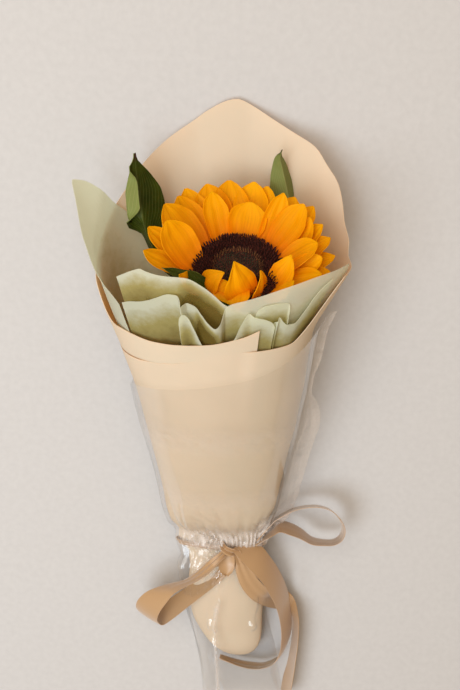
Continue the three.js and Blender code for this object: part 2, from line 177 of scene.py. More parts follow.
def bump(tree, shader, height, strength, depth):
    """Raises a surface by a height socket, with its depth in millimetres."""
    made = node(tree, "Bump", {"Height": height, "Strength": strength, "Distance": depth * MM})
    tree.links.new(made.outputs["Normal"], shader.inputs["Normal"])


def row_place(x, y, z):
    """Millimetres along the bouquet, from its own foot, as a place in the frame."""
    return Vector((x, y - 200, z)) * MM


def settle(thing, name, finish, replaced):
    """Names and smooths a finished piece, gives it its finish and hides the solid it stands for."""
    thing.name = name
    thing.data.name = name
    thing.data.materials.clear()
    thing.data.materials.append(finish)
    alone(thing)
    bpy.ops.object.shade_smooth_by_angle(angle=math.radians(50))
    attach(thing, "root")
    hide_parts(replaced)


def joined(things):
    """Joins several objects into the first one."""
    alone(things[0])
    for thing in things:
        thing.select_set(True)
    bpy.ops.object.join()
    return things[0]


def moved(thing, place):
    """Puts an object's mesh at a place, so that the object itself stays at the origin."""
    alone(thing)
    thing.matrix_world = place @ thing.matrix_world
    bpy.ops.object.transform_apply(location=True, rotation=True, scale=True)
    return thing


def applied(thing, kind, **settings):
    """Adds a modifier and applies it."""
    alone(thing)
    modifier = thing.modifiers.new(kind.lower(), kind)
    for name, value in settings.items():
        setattr(modifier, name, value)
    bpy.ops.object.modifier_apply(modifier=modifier.name)
    return thing


def bent(thing, axis, degrees, method="BEND"):
    """Bends or twists a piece about an axis."""
    angle = math.radians(degrees)
    return applied(thing, "SIMPLE_DEFORM", deform_method=method, deform_axis=axis, angle=angle)


def thick(thing, thickness):
    """Gives a sheet its thickness in millimetres, half to each side."""
    return applied(thing, "SOLIDIFY", thickness=thickness * MM, offset=0)


def turned(degrees, axis):
    """A turn about an axis through the origin."""
    return Matrix.Rotation(math.radians(degrees), 4, axis)


def copied(thing):
    """A copy with its own mesh."""
    return in_scene(thing.name, thing.data.copy())


def mode(name):
    """Goes to edit mode or back to object mode."""
    bpy.ops.object.mode_set(mode=name)


def drawn_up(sides, steps):
    """A closed form on a ring of so many sides, drawn up through (height, radius) steps in millimetres."""
    height, radius = steps[0]
    thing = fresh(bpy.ops.mesh.primitive_circle_add, vertices=sides, radius=radius * MM, fill_type="NGON",
                  location=(0, 0, height * MM))
    mode("EDIT")
    for next_height, next_radius in steps[1:]:
        bpy.ops.mesh.extrude_region_move(
            TRANSFORM_OT_translate={"value": (0, 0, (next_height - height) * MM)})
        share = next_radius / radius
        bpy.ops.transform.resize(value=(share, share, 1), center_override=(0, 0, next_height * MM))
        height, radius = next_height, next_radius
    bpy.ops.mesh.select_all(action="SELECT")
    bpy.ops.mesh.normals_make_consistent(inside=False)
    mode("OBJECT")
    return thing


def blade(length, width, outline, columns, rows):
    """A flat blade that stands on its root, facing +Y: a grid whose rows are drawn in to an outline."""
    thing = fresh(bpy.ops.mesh.primitive_grid_add, x_subdivisions=columns, y_subdivisions=rows, size=1,
                  location=(0, 0, 0.5), rotation=(math.radians(90), 0, 0))
    mode("EDIT")
    bpy.ops.mesh.select_all(action="DESELECT")
    mode("OBJECT")
    for row in range(rows + 1):
        height = row / rows
        for vertex in thing.data.vertices:
            vertex.select = abs(vertex.co.z - height) < 0.2 / rows
        mode("EDIT")
        bpy.ops.transform.resize(value=(outline(height), 1, 1), center_override=(0, 0, height))
        bpy.ops.mesh.select_all(action="DESELECT")
        mode("OBJECT")
    thing.scale = (width, 1, length)
    bpy.ops.object.transform_apply(location=True, rotation=True, scale=True)
    return thing


def smooth_curve(pairs):
    """A function through (place, value) pairs, by curves that never pass the values beside them."""
    places, values = [pair[0] for pair in pairs], [pair[1] for pair in pairs]
    steps = [(values[i + 1] - values[i]) / (places[i + 1] - places[i]) for i in range(len(pairs) - 1)]
    bends = [0 if a * b <= 0 else 2 * a * b / (a + b) for a, b in zip(steps, steps[1:])]
    slopes = [steps[0], *bends, steps[-1]]

    def value(place):
        if place <= places[0]:
            return values[0]
        if place >= places[-1]:
            return values[-1]
        i = bisect.bisect_right(places, place) - 1
        gap = places[i + 1] - places[i]
        t = (place - places[i]) / gap
        return (values[i] * (1 + 2 * t) * (1 - t) ** 2 + slopes[i] * gap * t * (1 - t) ** 2
                + values[i + 1] * t * t * (3 - 2 * t) + slopes[i + 1] * gap * t * t * (t - 1))
    return value


stem_curve = bpy.data.curves.new("stem", "CURVE")
stem_curve.dimensions = "3D"
stem_curve.bevel_depth = STEM_RADIUS * MM
stem_curve.bevel_resolution = 5
stem_curve.resolution_u = 6
stem_curve.use_fill_caps = True
spline = stem_curve.splines.new("NURBS")
spline.points.add(len(STEM_ROUTE) - 1)
spline.use_endpoint_u = True
for point, place in zip(spline.points, STEM_ROUTE):
    point.co = (*row_place(*place), 1)
alone(in_scene("stem", stem_curve))
bpy.ops.object.convert(target="MESH")
stem = bpy.context.object

cup = moved(drawn_up(40, CUP_STEPS), HEAD_PLACE)

bract_outline = smooth_curve([(0, 0.85), (0.3, 1), (0.6, 0.72), (0.85, 0.3), (1, 0.06)])
base_bract = blade(BRACT_LENGTH * MM, BRACT_WIDTH * MM, bract_outline, 4, 8)
bent(base_bract, "Z", 50)
thick(base_bract, 0.5)
draws = random.Random(7)
bracts = []
for whorl in range(2):
    for index in range(BRACT_COUNT):
        turn = (index + whorl / 2) / BRACT_COUNT * 360 + draws.uniform(-5, 5)
        facing = max(0, -math.sin(math.radians(turn))) ** 2
        rise = -10 + 8 * whorl + draws.uniform(-4, 4)
        bract = copied(base_bract)
        bract.scale = (1, 1, draws.uniform(0.85, 1.08) * (1 - 0.2 * facing))
        moved(bract, Matrix())
        bent(bract, "X", 14 + 60 * facing + draws.uniform(-8, 8))
        foot = Matrix.Translation((0, -BRACT_REACH * MM, (BRACT_LEVEL + whorl) * MM))
        moved(bract, HEAD_PLACE @ turned(turn + 90, "Z") @ foot @ turned(90 - rise, "X"))
        bracts.append(bract)
bpy.data.objects.remove(base_bract)

finish, tree, shader = mottled("green_stem", 0.5, 0.4, 60.0, 4.0, [
    (0.3, (0.07, 0.14, 0.02)), (0.7, (0.16, 0.26, 0.06))])
bump(tree, shader, object_noise(tree, 900.0, 4.0), 0.5, 0.4)
settle(joined([stem, cup, *bracts]), "stem_with_calyx", finish, "stem_and_calyx")

# ------------------------
# Disc. A dark dome carries hundreds of small florets in crossing spirals: tight buds in the middle, a
# lighter ring of opening ones, and round the outside a raised brush of maroon ones that have opened.

DISC_RADIUS, FLORET_COUNT = 28.4, 1050
# How far the dome and the florets' roots lie under the disc's own line, and the roots inside its rim.
DOME_SINK, ROOT_SINK, RIM_CLEAR = 0.6, 0.9, 0.8
GOLDEN_TURN = 137.508
MIDDLE_REACH, RING_REACH = 0.49, 0.6
# Each zone's floret, from its root up by height and radius.
FLORET_STEPS = {
    "middle": [(0, 0.5), (0.6, 0.5), (1.05, 0.18)],
    "ring": [(0, 0.42), (1.0, 0.5), (1.6, 0.38), (2.0, 0.12)],
    "brush": [(0, 0.34), (1.8, 0.26), (2.8, 0.5), (3.4, 0.42), (4.3, 0.08)],
}
disc_height = smooth_curve([
    (0, 1.6), (0.3, 1.5), (0.46, 1.3), (0.6, 2.3), (0.78, 3.0), (0.92, 1.6), (1, -0.6)])

dome = fresh(bpy.ops.mesh.primitive_uv_sphere_add, segments=48, ring_count=40, radius=DISC_RADIUS * MM)
mode("EDIT")
bpy.ops.mesh.select_all(action="SELECT")
bpy.ops.mesh.bisect(plane_co=(0, 0, 0), plane_no=(0, 0, 1), use_fill=True, clear_inner=True)
mode("OBJECT")
for vertex in dome.data.vertices:
    share = min(1, vertex.co.xy.length / (DISC_RADIUS * MM))
    if vertex.co.z > 1e-6:
        vertex.co.z = (disc_height(share) - DOME_SINK) * MM
moved(dome, HEAD_PLACE)

sources = {zone: drawn_up(5, steps) for zone, steps in FLORET_STEPS.items()}
zones = {zone: [] for zone in FLORET_STEPS}
draws = random.Random(11)
for index in range(FLORET_COUNT):
    share = math.sqrt((index + 0.5) / FLORET_COUNT)
    zone = "middle" if share < MIDDLE_REACH else "ring" if share < RING_REACH else "brush"
    grown = copied(sources[zone])
    outwards = (share - 0.66) * 115 if zone == "brush" else share * 20
    lean = turned(outwards + draws.uniform(-9, 9), "Y")
    size = draws.uniform(0.75, 1.2)
    place = Vector((share * (DISC_RADIUS - RIM_CLEAR), 0, disc_height(share) - ROOT_SINK)) * MM
    spin = turned(index * GOLDEN_TURN, "Z")
    grown.matrix_world = spin @ Matrix.Translation(place) @ lean @ Matrix.Scale(size, 4)
    zones[zone].append(grown)
for source in sources.values():
    bpy.data.objects.remove(source)


def floret_finish(name, low, high, roughness):
    return mottled(name, roughness, 0.25, 700.0, 2.0, [(0.35, low), (0.65, high)])[0]


maroon = floret_finish("maroon_florets", (0.012, 0.0025, 0.002), (0.075, 0.014, 0.008), 0.8)
brown = floret_finish("brown_florets", (0.045, 0.016, 0.006), (0.17, 0.075, 0.028), 0.7)
olive = floret_finish("dark_buds", (0.010, 0.011, 0.005), (0.055, 0.055, 0.026), 0.6)
settle(dome, "disc_dome", maroon, "flower_disc")
for zone, name, finish in (("middle", "disc_buds", olive), ("ring", "disc_opening_florets", brown),
                           ("brush", "disc_brush_florets", maroon)):
    settle(moved(joined(zones[zone]), HEAD_PLACE), name, finish, "flower_disc")

# ------------------------
# Ray petals. Broad golden blades with a few lengthwise folds grow in whorls round the disc, each a little
# cupped, bent and twisted. The front ones are short and pressed up by the tissue, and curl over the disc.

# Where each petal is rooted on the rim (degrees from the flower's right, over the back), where it points, its
# length and width, its rise at the root and at the tip, and any twist and sideways sway.
BACK_PETALS = [
    (190, 169, 43, 16, 12, 36), (172, 151, 46, 18, 14, 40), (150, 137, 47, 27, 24, 46),
    (138, 124, 48, 23, 18, 44), (126, 118, 51, 21, 12, 40), (108, 108, 50, 26, 13, 42),
    (94, 95, 50, 26, 12, 42), (78, 81, 50, 25, 13, 42), (66, 75, 49, 21, 10, 38),
    (46, 57, 48, 23, 12, 40), (33, 44, 49, 21, 10, 38), (20, 31, 45, 21, 10, 36), (10, 20, 44, 18, 8, 32),
    (0, 10, 43, 16, 5, 22), (-18, 1, 39, 18, 5, 20),
]
FRONT_PETALS = [
    (186, 138, 41, 25, 30, 60, -10, 0), (112, 106, 39, 18, 26, 52), (82, 76, 30, 27, 30, 50),
    (50, 61, 42, 15, 32, 52, 40, 0), (35, 45, 42, 22, 24, 48), (24, 39, 39, 23, 18, 42),
    (2, 12, 34, 24, 24, 46), (-14, 10, 34, 16, 16, 36, 25, 0), (-28, -5, 34, 17, 14, 28),
]
CURLED_PETALS = [
    (-40, 34, 27, 19, 42, 66, 0, -8), (-50, -22, 25, 17, 24, 56, 20, 0),
    (-60, -40, 21, 18, 66, 120, 25, 0), (-74, -66, 34, 23, 84, 112, 12, -22),
    (-98, -98, 15, 24, 26, -76, 12, 0), (-118, -138, 20, 16, 50, 190, 30, 0),
    (-132, -154, 24, 17, 62, 165, 20, 0), (-146, -160, 26, 17, 34, 84, -50, 0),
]
petal_outline = smooth_curve([
    (0, 0.4), (0.12, 0.55), (0.3, 0.84), (0.5, 0.98), (0.64, 1), (0.78, 0.87), (0.88, 0.65),
    (0.95, 0.38), (1, 0.07)])
pointed_outline = smooth_curve([
    (0, 0.45), (0.15, 0.7), (0.32, 0.96), (0.5, 0.98), (0.66, 0.78), (0.8, 0.52), (0.91, 0.28),
    (1, 0.03)])


def ridged(thing, outline, columns, depth, hook=0.0):
    """Presses lengthwise grooves into a standing blade, and draws its tip sideways by hook."""
    for vertex in thing.data.vertices:
        widest = max(outline(vertex.co.z), 1e-3)
        across = vertex.co.x / widest
        fade = math.sin(math.pi * min(1, 0.12 + 0.88 * vertex.co.z)) ** 0.5
        vertex.co.y -= depth * fade * (0.5 + 0.5 * math.cos(across * columns * 2 * math.pi))
        vertex.co.x += hook * vertex.co.z ** 3
        vertex.co.z += 0.03 * fade * math.sin(vertex.co.z * 15 + 4 * across) * abs(across)
    return thing


round_petal = ridged(blade(1, 1, petal_outline, 16, 18), petal_outline, 3, 0.014)
pointed_petal = ridged(blade(1, 1, pointed_outline, 16, 18), pointed_outline, 2, 0.03, 0.22)
clouds = bpy.data.textures.new("petal_waves", "CLOUDS")
clouds.noise_scale = 0.011
draws = random.Random(31)
petals = []
# Each whorl's blade and petals, its height on the head, the radius of its roots and its cupping in degrees.
whorls = [(round_petal, BACK_PETALS, -5.6, 21, 52), (round_petal, FRONT_PETALS, -3.8, 23, 62),
          (pointed_petal, CURLED_PETALS, -3.2, 26, 62)]
for base_petal, whorl, lift, root, cup in whorls:
    for index, (rim, turn, length, width, low, high, *extra) in enumerate(whorl):
        twist, sway = extra or (0, 0)
        petal = copied(base_petal)
        petal.scale = (width * MM, length * MM, length * MM)
        moved(petal, Matrix())
        bent(petal, "Z", cup + draws.uniform(-16, 16))
        bent(petal, "Z", twist + draws.uniform(-9, 9), "TWIST")
        bent(petal, "X", high - low)
        # A petal whose tip points down is rooted further in and higher, so that it clears the others.
        hanging = high < 0
        reach = root - (5 if hanging else 0)
        foot = Vector((reach * math.cos(math.radians(rim)), reach * math.sin(math.radians(rim)),
                       lift - 0.9 * (index % 2) + (7 if hanging else 0))) * MM
        lean = turned(90 - low, "X") @ turned(sway, "Y")
        moved(petal, HEAD_PLACE @ Matrix.Translation(foot) @ turned(turn + 90, "Z") @ lean)
        applied(petal, "DISPLACE", texture=clouds, texture_coords="LOCAL", strength=2.6 * MM, mid_level=0.5)
        tone = petal.data.attributes.new("petal_tone", "FLOAT", "POINT")
        tone.data.foreach_set("value", [draws.random()] * len(petal.data.vertices))
        petals.append(petal)
bpy.data.objects.remove(round_petal)
bpy.data.objects.remove(pointed_petal)
petal_ring = joined(petals)
thick(petal_ring, 0.45)


def mixed(tree, factor, first, second, blend="MIX"):
    """A colour socket that blends two colours or sockets."""
    first, second = [color if isinstance(color, bpy.types.NodeSocket) else (*color, 1)
                     for color in (first, second)]
    inputs = {0: factor, 6: first, 7: second}
    return node(tree, "Mix", inputs, data_type="RGBA", blend_type=blend).outputs[2]


def layered(tree, factor, first, second):
    """A shader that mixes two others by a factor."""
    return node(tree, "MixShader", {"Fac": factor, 1: first.outputs[0], 2: second.outputs[0]})


def surface(tree, shader):
    """Makes a shader the finish's surface."""
    tree.links.new(shader.outputs[0], tree.nodes["Material Output"].inputs["Surface"])


def uv_parts(tree):
    """The UV map's own socket, and its two parts."""
    uv = node(tree, "UVMap", uv_map="UVMap").outputs["UV"]
    parts = node(tree, "SeparateXYZ", {"Vector": uv}).outputs
    return uv, parts["X"], parts["Y"]


finish, tree, shader = new_finish("golden_petals", 0.6, 0.12)
uv, _, root_to_tip = uv_parts(tree)
tone = node(tree, "Attribute", attribute_name="petal_tone").outputs["Fac"]
stretched = node(tree, "Mapping", {"Vector": uv, "Scale": (26.0, 1.6, 1.0)}).outputs["Vector"]
own_part = node(tree, "CombineXYZ", {"Z": tone}).outputs["Vector"]
shifted = node(tree, "VectorMath", {0: stretched, 1: own_part}, operation="ADD")
veins = node(tree, "TexNoise", {"Vector": shifted.outputs["Vector"], "Scale": 1.0, "Detail": 3.0})
# Deep orange root to gold tip: partly the petals' own colour, partly painted shade where they crowd at the
# disc.
along = ramp(tree, root_to_tip, [
    (0.0, (0.80, 0.17, 0.0)), (0.25, (1.0, 0.34, 0.0)), (0.6, (1.0, 0.50, 0.0)), (1.0, (1.0, 0.57, 0.0))])
toned = mixed(tree, tone, (0.95, 0.86, 0.8), (1.0, 1.0, 1.0))
gold = mixed(tree, 1.0, along, toned, "MULTIPLY")
lines = ramp(tree, veins.outputs["Fac"], [(0.3, (0.88, 0.80, 0.8)), (0.6, (1.0, 1.0, 1.0))])
gold = mixed(tree, 0.8, gold, lines, "MULTIPLY")
tree.links.new(gold, shader.inputs["Base Color"])
bump(tree, shader, veins.outputs["Fac"], 0.35, 0.5)
through = node(tree, "BsdfTranslucent", {"Color": gold})
surface(tree, layered(tree, 0.42, shader, through))
settle(petal_ring, "golden_ray_petals", finish, "ray_petals")

# ------------------------
# Leaves. Sunflower leaves with a strong midrib, folded along it, waved at the edge and drawn out to a dry
# tip. The left one's margin curls up and over, and the right one is turned to show its pale underside.


def route(points, share):
    """A place on the smooth curve through a list of points, with share from 0 to 1."""
    last = len(points) - 1
    place = min(max(share, 0), 1) * last
    i = min(int(place), last - 1)
    t = place - i
    p1, p2 = Vector(points[i]), Vector(points[i + 1])
    p0 = Vector(points[i - 1]) if i > 0 else 2 * p1 - p2
    p3 = Vector(points[i + 2]) if i + 2 <= last else 2 * p2 - p1
    return 0.5 * (2 * p1 + (p2 - p0) * t + (2 * p0 - 5 * p1 + 4 * p2 - p3) * t * t
                  + (3 * p1 - p0 - 3 * p2 + p3) * t * t * t)


def heading(points, share):
    """Which way the curve through the points runs at a share of its length."""
    return route(points, share + 0.01) - route(points, share - 0.01)


def grid_piece(point, across, along):
    """A sheet of faces through point(u, v) in millimetres along the bouquet, with u and v as its UV map."""
    row = across + 1
    spots = [row_place(*point(i / across, j / along)) for j in range(along + 1) for i in range(row)]
    faces = [(j * row + i, j * row + i + 1, (j + 1) * row + i + 1, (j + 1) * row + i)
             for j in range(along) for i in range(across)]
    mesh = bpy.data.meshes.new("sheet")
    mesh.from_pydata(spots, [], faces)
    uv = mesh.uv_layers.new(name="UVMap")
    for loop in mesh.loops:
        j, i = divmod(loop.vertex_index, row)
        uv.data[loop.index].uv = (i / across, j / along)
    return in_scene("sheet", mesh)


def between(value, start, end):
    """How far a value has gone from start to end, held to 0 and 1."""
    return max(0, min(1, (value - start) / (end - start)))


def mound(value, middle, width, power=2):
    """A smooth mound, 1 at its middle; a higher even power gives it a flat top."""
    return math.exp(-((value - middle) / width) ** power)


leaf_outline = smooth_curve([
    (0, 0.07), (0.1, 0.09), (0.2, 0.45), (0.4, 0.95), (0.55, 1), (0.75, 0.72), (0.9, 0.32), (0.96, 0.1),
    (1, 0.03)])
broad_tip = smooth_curve([
    (0, 0.07), (0.1, 0.09), (0.2, 0.4), (0.4, 0.66), (0.56, 0.7), (0.67, 1), (0.78, 0.94), (0.87, 0.62),
    (0.94, 0.22), (0.97, 0.06), (1, 0.03)])
slim_tip = smooth_curve([
    (0, 0.07), (0.1, 0.09), (0.2, 0.45), (0.4, 0.95), (0.55, 1), (0.68, 0.74), (0.8, 0.42), (0.9, 0.17),
    (0.95, 0.06), (1, 0.03)])


def leaf_piece(midrib, width, slope, side, wave, outline, flipped):
    """A leaf along a midrib, with each half's slope in degrees from slope(share across, share along)."""
    across = Vector(side).normalized()

    def point(u, v):
        middle = route(midrib, v)
        along = heading(midrib, v).normalized()
        out = (across - along * across.dot(along)).normalized()
        up = out.cross(along).normalized()
        hand, share = (1, 2 * u - 1) if u > 0.5 else (-1, 1 - 2 * u)
        half = width / 2 * outline(v)
        reach, lift = 0.0, 0.0
        for step in range(10):
            angle = math.radians(slope(hand * share * (step + 0.5) / 10, v))
            reach += math.cos(angle) * share / 10
            lift += math.sin(angle) * share / 10
        ripple = wave * share ** 2 * math.sin(v * 21 + 2 * u)
        veins = 0.35 * math.cos((v * 11 - share * 1.6) * 2 * math.pi) * share * (1 - share) * 2
        groove = -0.5 * mound(share, 0, 0.08) * outline(v)
        return middle + out * hand * half * reach + up * (half * lift + ripple + veins + groove)
    thing = grid_piece(point, 24, 48)
    upper = len(thing.data.polygons)
    thick(thing, 0.45)
    pale = thing.data.attributes.new("underside", "FLOAT", "FACE")
    pale.data.foreach_set("value", [float((index >= upper) != flipped)
                                    for index in range(len(thing.data.polygons))])
    return thing


def maths(tree, operation, *values, **settings):
    """A number socket worked out from others."""
    return node(tree, "Math", dict(enumerate(values)), operation=operation, **settings).outputs[0]


def spread(tree, value, low, high, start=0.0, end=1.0):
    """A number socket that goes from start to end where the value goes from low to high."""
    ends = {"From Min": low, "From Max": high, "To Min": start, "To Max": end}
    return node(tree, "MapRange", {"Value": value, **ends}).outputs["Result"]


leaf_finish, tree, shader = new_finish("leaf_green", 0.5, 0.09)
_, across, foot_to_tip = uv_parts(tree)
side = maths(tree, "ABSOLUTE", maths(tree, "SUBTRACT", across, 0.5))
slant = maths(tree, "MULTIPLY_ADD", side, -1.4, foot_to_tip)
ribs = spread(tree, maths(tree, "COSINE", maths(tree, "MULTIPLY", slant, 69.0)), 0.88, 1.0)
vein = maths(tree, "MAXIMUM", spread(tree, side, 0.0, 0.035, 1.0, 0.0), ribs)
green = ramp(tree, object_noise(tree, 90.0, 5.0), [
    (0.3, (0.018, 0.026, 0.0015)), (0.7, (0.040, 0.052, 0.003))])
green = mixed(tree, maths(tree, "MULTIPLY", vein, 0.55), green, (0.11, 0.13, 0.035))
green = mixed(tree, spread(tree, foot_to_tip, 0.95, 0.985), green, (0.05, 0.02, 0.012))
pale = mixed(tree, vein, (0.16, 0.185, 0.05), (0.24, 0.25, 0.09))
under = node(tree, "Attribute", attribute_name="underside").outputs["Fac"]
tree.links.new(mixed(tree, under, green, pale), shader.inputs["Base Color"])
bump(tree, shader, vein, 0.4, 0.4)


def curled_left(share, along):
    """The left leaf: its left margin is tucked down at the foot, and curls up and over nearer the tip."""
    if share > 0:
        return -48
    curl = between(-share, 0.40, 0.62) * mound(along, 0.76, 0.16, 6)
    return -66 + 88 * between(along, 0.60, 0.68) + 165 * curl


def spread_right(share, along):
    """The right leaf: its right half falls away more steeply than its left."""
    return -14 if share < 0 else -66


def even_slope(share, along):
    """The low leaf: both halves rise alike."""
    return 24


LEFT_RIB = [
    (-8, 268, 44), (-20, 306, 50), (-33, 325.5, 51), (-44, 339, 47), (-51.5, 355, 43),
    (-54.5, 371.5, 39), (-56.3, 387, 37), (-57.1, 404.5, 39)]
RIGHT_RIB = [
    (26, 262, 33), (38, 312, 28), (43.5, 353.8, 24), (44.5, 366.4, 22), (43, 375.3, 21),
    (39.6, 389.5, 21), (37.4, 398.6, 23), (38.5, 404.5, 26)]
LOW_RIB = [(8.1, 313.7, 84), (0.6, 322.2, 90), (-7.4, 329.6, 93), (-15.4, 334.7, 94),
           (-22.8, 337.3, 92), (-30.4, 339.0, 88), (-38.0, 340.5, 84)]
for name, replaced, leaf in (
    ("left_leaf", "leaf_left", (LEFT_RIB, 39, curled_left, (1, 0.3, 0.1), 0.9, broad_tip, False)),
    ("right_leaf", "leaf_right", (RIGHT_RIB, 26, spread_right, (1, 0, 0), 0.5, slim_tip, True)),
    ("low_leaf", "leaf_low", (LOW_RIB, 9.5, even_slope, (0.5, 0.9, -0.5), 0.7, leaf_outline, False)),
):
    settle(leaf_piece(*leaf), name, leaf_finish, replaced)

# ------------------------
# Tissue. Pale green florist's tissue, thin enough to glow against the light. One sheet lies against the
# left wall with a corner standing out, one stands before the flower, and a gathered one is before that.

# Sizes along the bouquet of the flattened cone that every sheet is rolled on.
half_width = smooth_curve([
    (-50, 32), (20, 31), (64, 33), (84, 31), (96, 25), (110, 25), (122, 33), (160, 41.5), (300, 77.4),
    (440, 113.3)])
half_height = smooth_curve([
    (-50, 9), (20, 14), (64, 15), (84, 14.5), (96, 12.5), (110, 12.5), (122, 15.5), (281, 54.75),
    (440, 94)])
wrap_bottom = smooth_curve([(-50, 3), (0, 3), (24, 0), (84, 0), (96, 1.3), (110, 1.3), (122, 0), (440, 0)])
wrap_shift = smooth_curve([
    (-50, 18), (-5, 11), (44, 2), (84, 2), (96, 5), (110, 5), (122, 1), (140, 0), (440, 0)])
# How far the roll swells past the plain cone at its right and left, in millimetres.
right_room = smooth_curve([
    (84, 0), (96, 2.2), (108, 2.6), (122, 3.5), (136, 5.7), (158, 4.7), (188, 2), (209, 0.6),
    (232, -2.5), (247, -4.4), (262, -7.2), (280, -10.5), (297, -12.5), (312, -9), (327, -5), (338, -2),
    (350, 0)])
left_room = smooth_curve([
    (76, 0), (83, 0.5), (91, 6.6), (97, 13), (107, 18), (122, 12), (140, 10), (177, 6.8), (216, 3.3),
    (246, 0.5), (256, 0)])
FLAT_DEPTH = 1.2
# How far inside the film's cone a sheet lies, at its sides and top and over the floor.
OUTER_LAYER, CURL_LAYER, TAB_LAYER = (5.7, 4.4), (5.5, 4.4), (5.2, 4.2)
INNER_LAYER, PLEAT_LAYER = (7.0, 5.7), (5.0, 4.0)
TISSUE_FOOT, LEAVES_WALL = 110, 185
TISSUE_THICKNESS = 0.25


def wrap_point(degrees, y, inset, bed, close=1.0):
    """A place on the flattened cone: degrees run from the front, over the right side, to the back."""
    angle = math.radians(degrees)
    width, height = (half_width(y) - inset) * close, (half_height(y) - inset) * close
    bottom = bed + wrap_bottom(y)
    z = bottom - FLAT_DEPTH * close + height * (1 + math.cos(angle))
    side = math.sin(angle)
    room = right_room(y) * max(0, side) ** 3 - left_room(y) * max(0, -side) ** 3
    return Vector((width * side + wrap_shift(y) + room, y, max(z, bottom)))


def drift(a, b, c):
    """A smooth seeded wander, from about -1 to 1."""
    return noise.noise(Vector((a, b, c)))


def tissue_place(degrees, y, layer, push):
    """A place pushed off the wall, towards the middle of the cone."""
    wall = wrap_point(degrees, y, *layer)
    axis = Vector((wrap_shift(y), y, layer[1] + half_height(y) - layer[0]))
    return wall + (axis - wall).normalized() * push


def lip_curves(lip):
    """Functions of 0 to 1 for the degrees, place and push of a lip, spaced evenly along it."""
    lengths = [0]
    for (d1, y1, p1), (d2, y2, p2) in zip(lip, lip[1:]):
        lengths.append(lengths[-1] + math.hypot(1.6 * (d2 - d1), y2 - y1, 2 * (p2 - p1)))
    shares = [length / lengths[-1] for length in lengths]
    return [smooth_curve([(share, spot[k]) for share, spot in zip(shares, lip)]) for k in range(3)]


def tissue_piece(lip, layer, foot, columns, rows, crease=0.5):
    """A sheet that lies on the wall at its foot and leaves it by each lip spot's push."""
    turn, top, push = lip_curves(lip)

    def point(u, v):
        y = foot + (top(u) - foot) * (1 - (1 - v) ** 1.3)
        leave = max(0, (y - LEAVES_WALL) / max(1, top(u) - LEAVES_WALL))
        crumple = crease * drift(u * 9 + foot, y * 0.03, layer[0])
        degrees = turn(u) + crease * drift(u * 5, y * 0.02, 7) * 1.2
        return tissue_place(degrees, y, layer, push(u) * leave + crumple * leave)
    return thick(grid_piece(point, columns, rows), TISSUE_THICKNESS)


def paint_shade_in_uv(sheet, shade, lip=1):
    """Keeps a sheet's painted shade in its UV map: light at the lip, darker below it by shade(u)."""
    for corner in sheet.data.uv_layers["UVMap"].data:
        corner.uv.y = lip - shade(corner.uv.x) * (1 - corner.uv.y)


tissue_finish, tree, shader = new_finish("green_tissue", 0.7, 0.2)
pulp = object_noise(tree, 160.0, 6.0, Roughness=0.65)
# Pale green at the lips and dark olive lower down, by the UV level: the olive is painted shade in the folds.
sage_with_painted_shade = ramp(tree, maths(tree, "MULTIPLY_ADD", pulp, 0.12, uv_parts(tree)[2]), [
    (0.76, (0.21, 0.15, 0.03)), (0.90, (0.52, 0.465, 0.20)), (1.03, (0.79, 0.82, 0.73))])
tree.links.new(sage_with_painted_shade, shader.inputs["Base Color"])
bump(tree, shader, object_noise(tree, 1400.0, 3.0), 0.15, 0.2)
glow = node(tree, "BsdfTranslucent", {"Color": sage_with_painted_shade})
clear = node(tree, "BsdfTransparent", {"Color": (0.95, 0.93, 0.74, 1)})
surface(tree, layered(tree, 0.42, layered(tree, 0.42, shader, glow), clear))

# Each lip, from left to right, as degrees round the cone, place along the bouquet and push off the wall.
LEFT_LIP = [
    (-160, 330, 0), (-143, 349, 0), (-138, 354.6, 0), (-132.5, 363.3, 0), (-126, 371.5, 0),
    (-119.8, 382.2, 0), (-115.4, 387.6, 0), (-112, 389.3, 0), (-109.3, 389.9, 0), (-107.1, 384.9, 0),
    (-104.3, 377.7, 0), (-99.3, 367.8, 0), (-93.6, 357.3, 0), (-89, 347.5, 0), (-82, 339, 0),
    (-72, 334, 0), (-62, 328, 0), (-57.5, 318, 0), (-57, 308, 0), (-56, 296, 0)]
left_clear = smooth_curve([
    (-160, 440), (-140, 410), (-120, 378), (-110, 362), (-98, 350), (-86, 336), (-50, 316)])
left_turn, left_top, _ = lip_curves(LEFT_LIP)


def left_tissue(u, v):
    degrees, top = left_turn(u), left_top(u)
    y = TISSUE_FOOT + (top - TISSUE_FOOT) * (1 - (1 - v) ** 1.4)
    loose = between(y, 220, 330)
    ripple = loose * (0.5 + 0.5 * math.sin(math.radians(degrees) * 9)) * 0.8
    crumple = 0.5 * loose * drift(degrees * 0.06, y * 0.03, 3)
    return tissue_place(degrees, y, OUTER_LAYER, ripple + crumple - 0.26 * max(0, y - left_clear(degrees)))


FRONT_LIP = [
    (-55.4, 339.9, 2), (-50.3, 343, 3), (-42, 347.6, 4.6), (-39.5, 348.6, 5.2), (-37, 347, 6),
    (-30.8, 344.7, 8), (-18.7, 343.7, 10), (-10.7, 338.9, 9), (-4.6, 332.9, 8), (1.2, 326.2, 7),
    (12, 320, 8), (25, 318, 8), (40, 322, 6), (58, 326, 3), (76, 323, 1)]
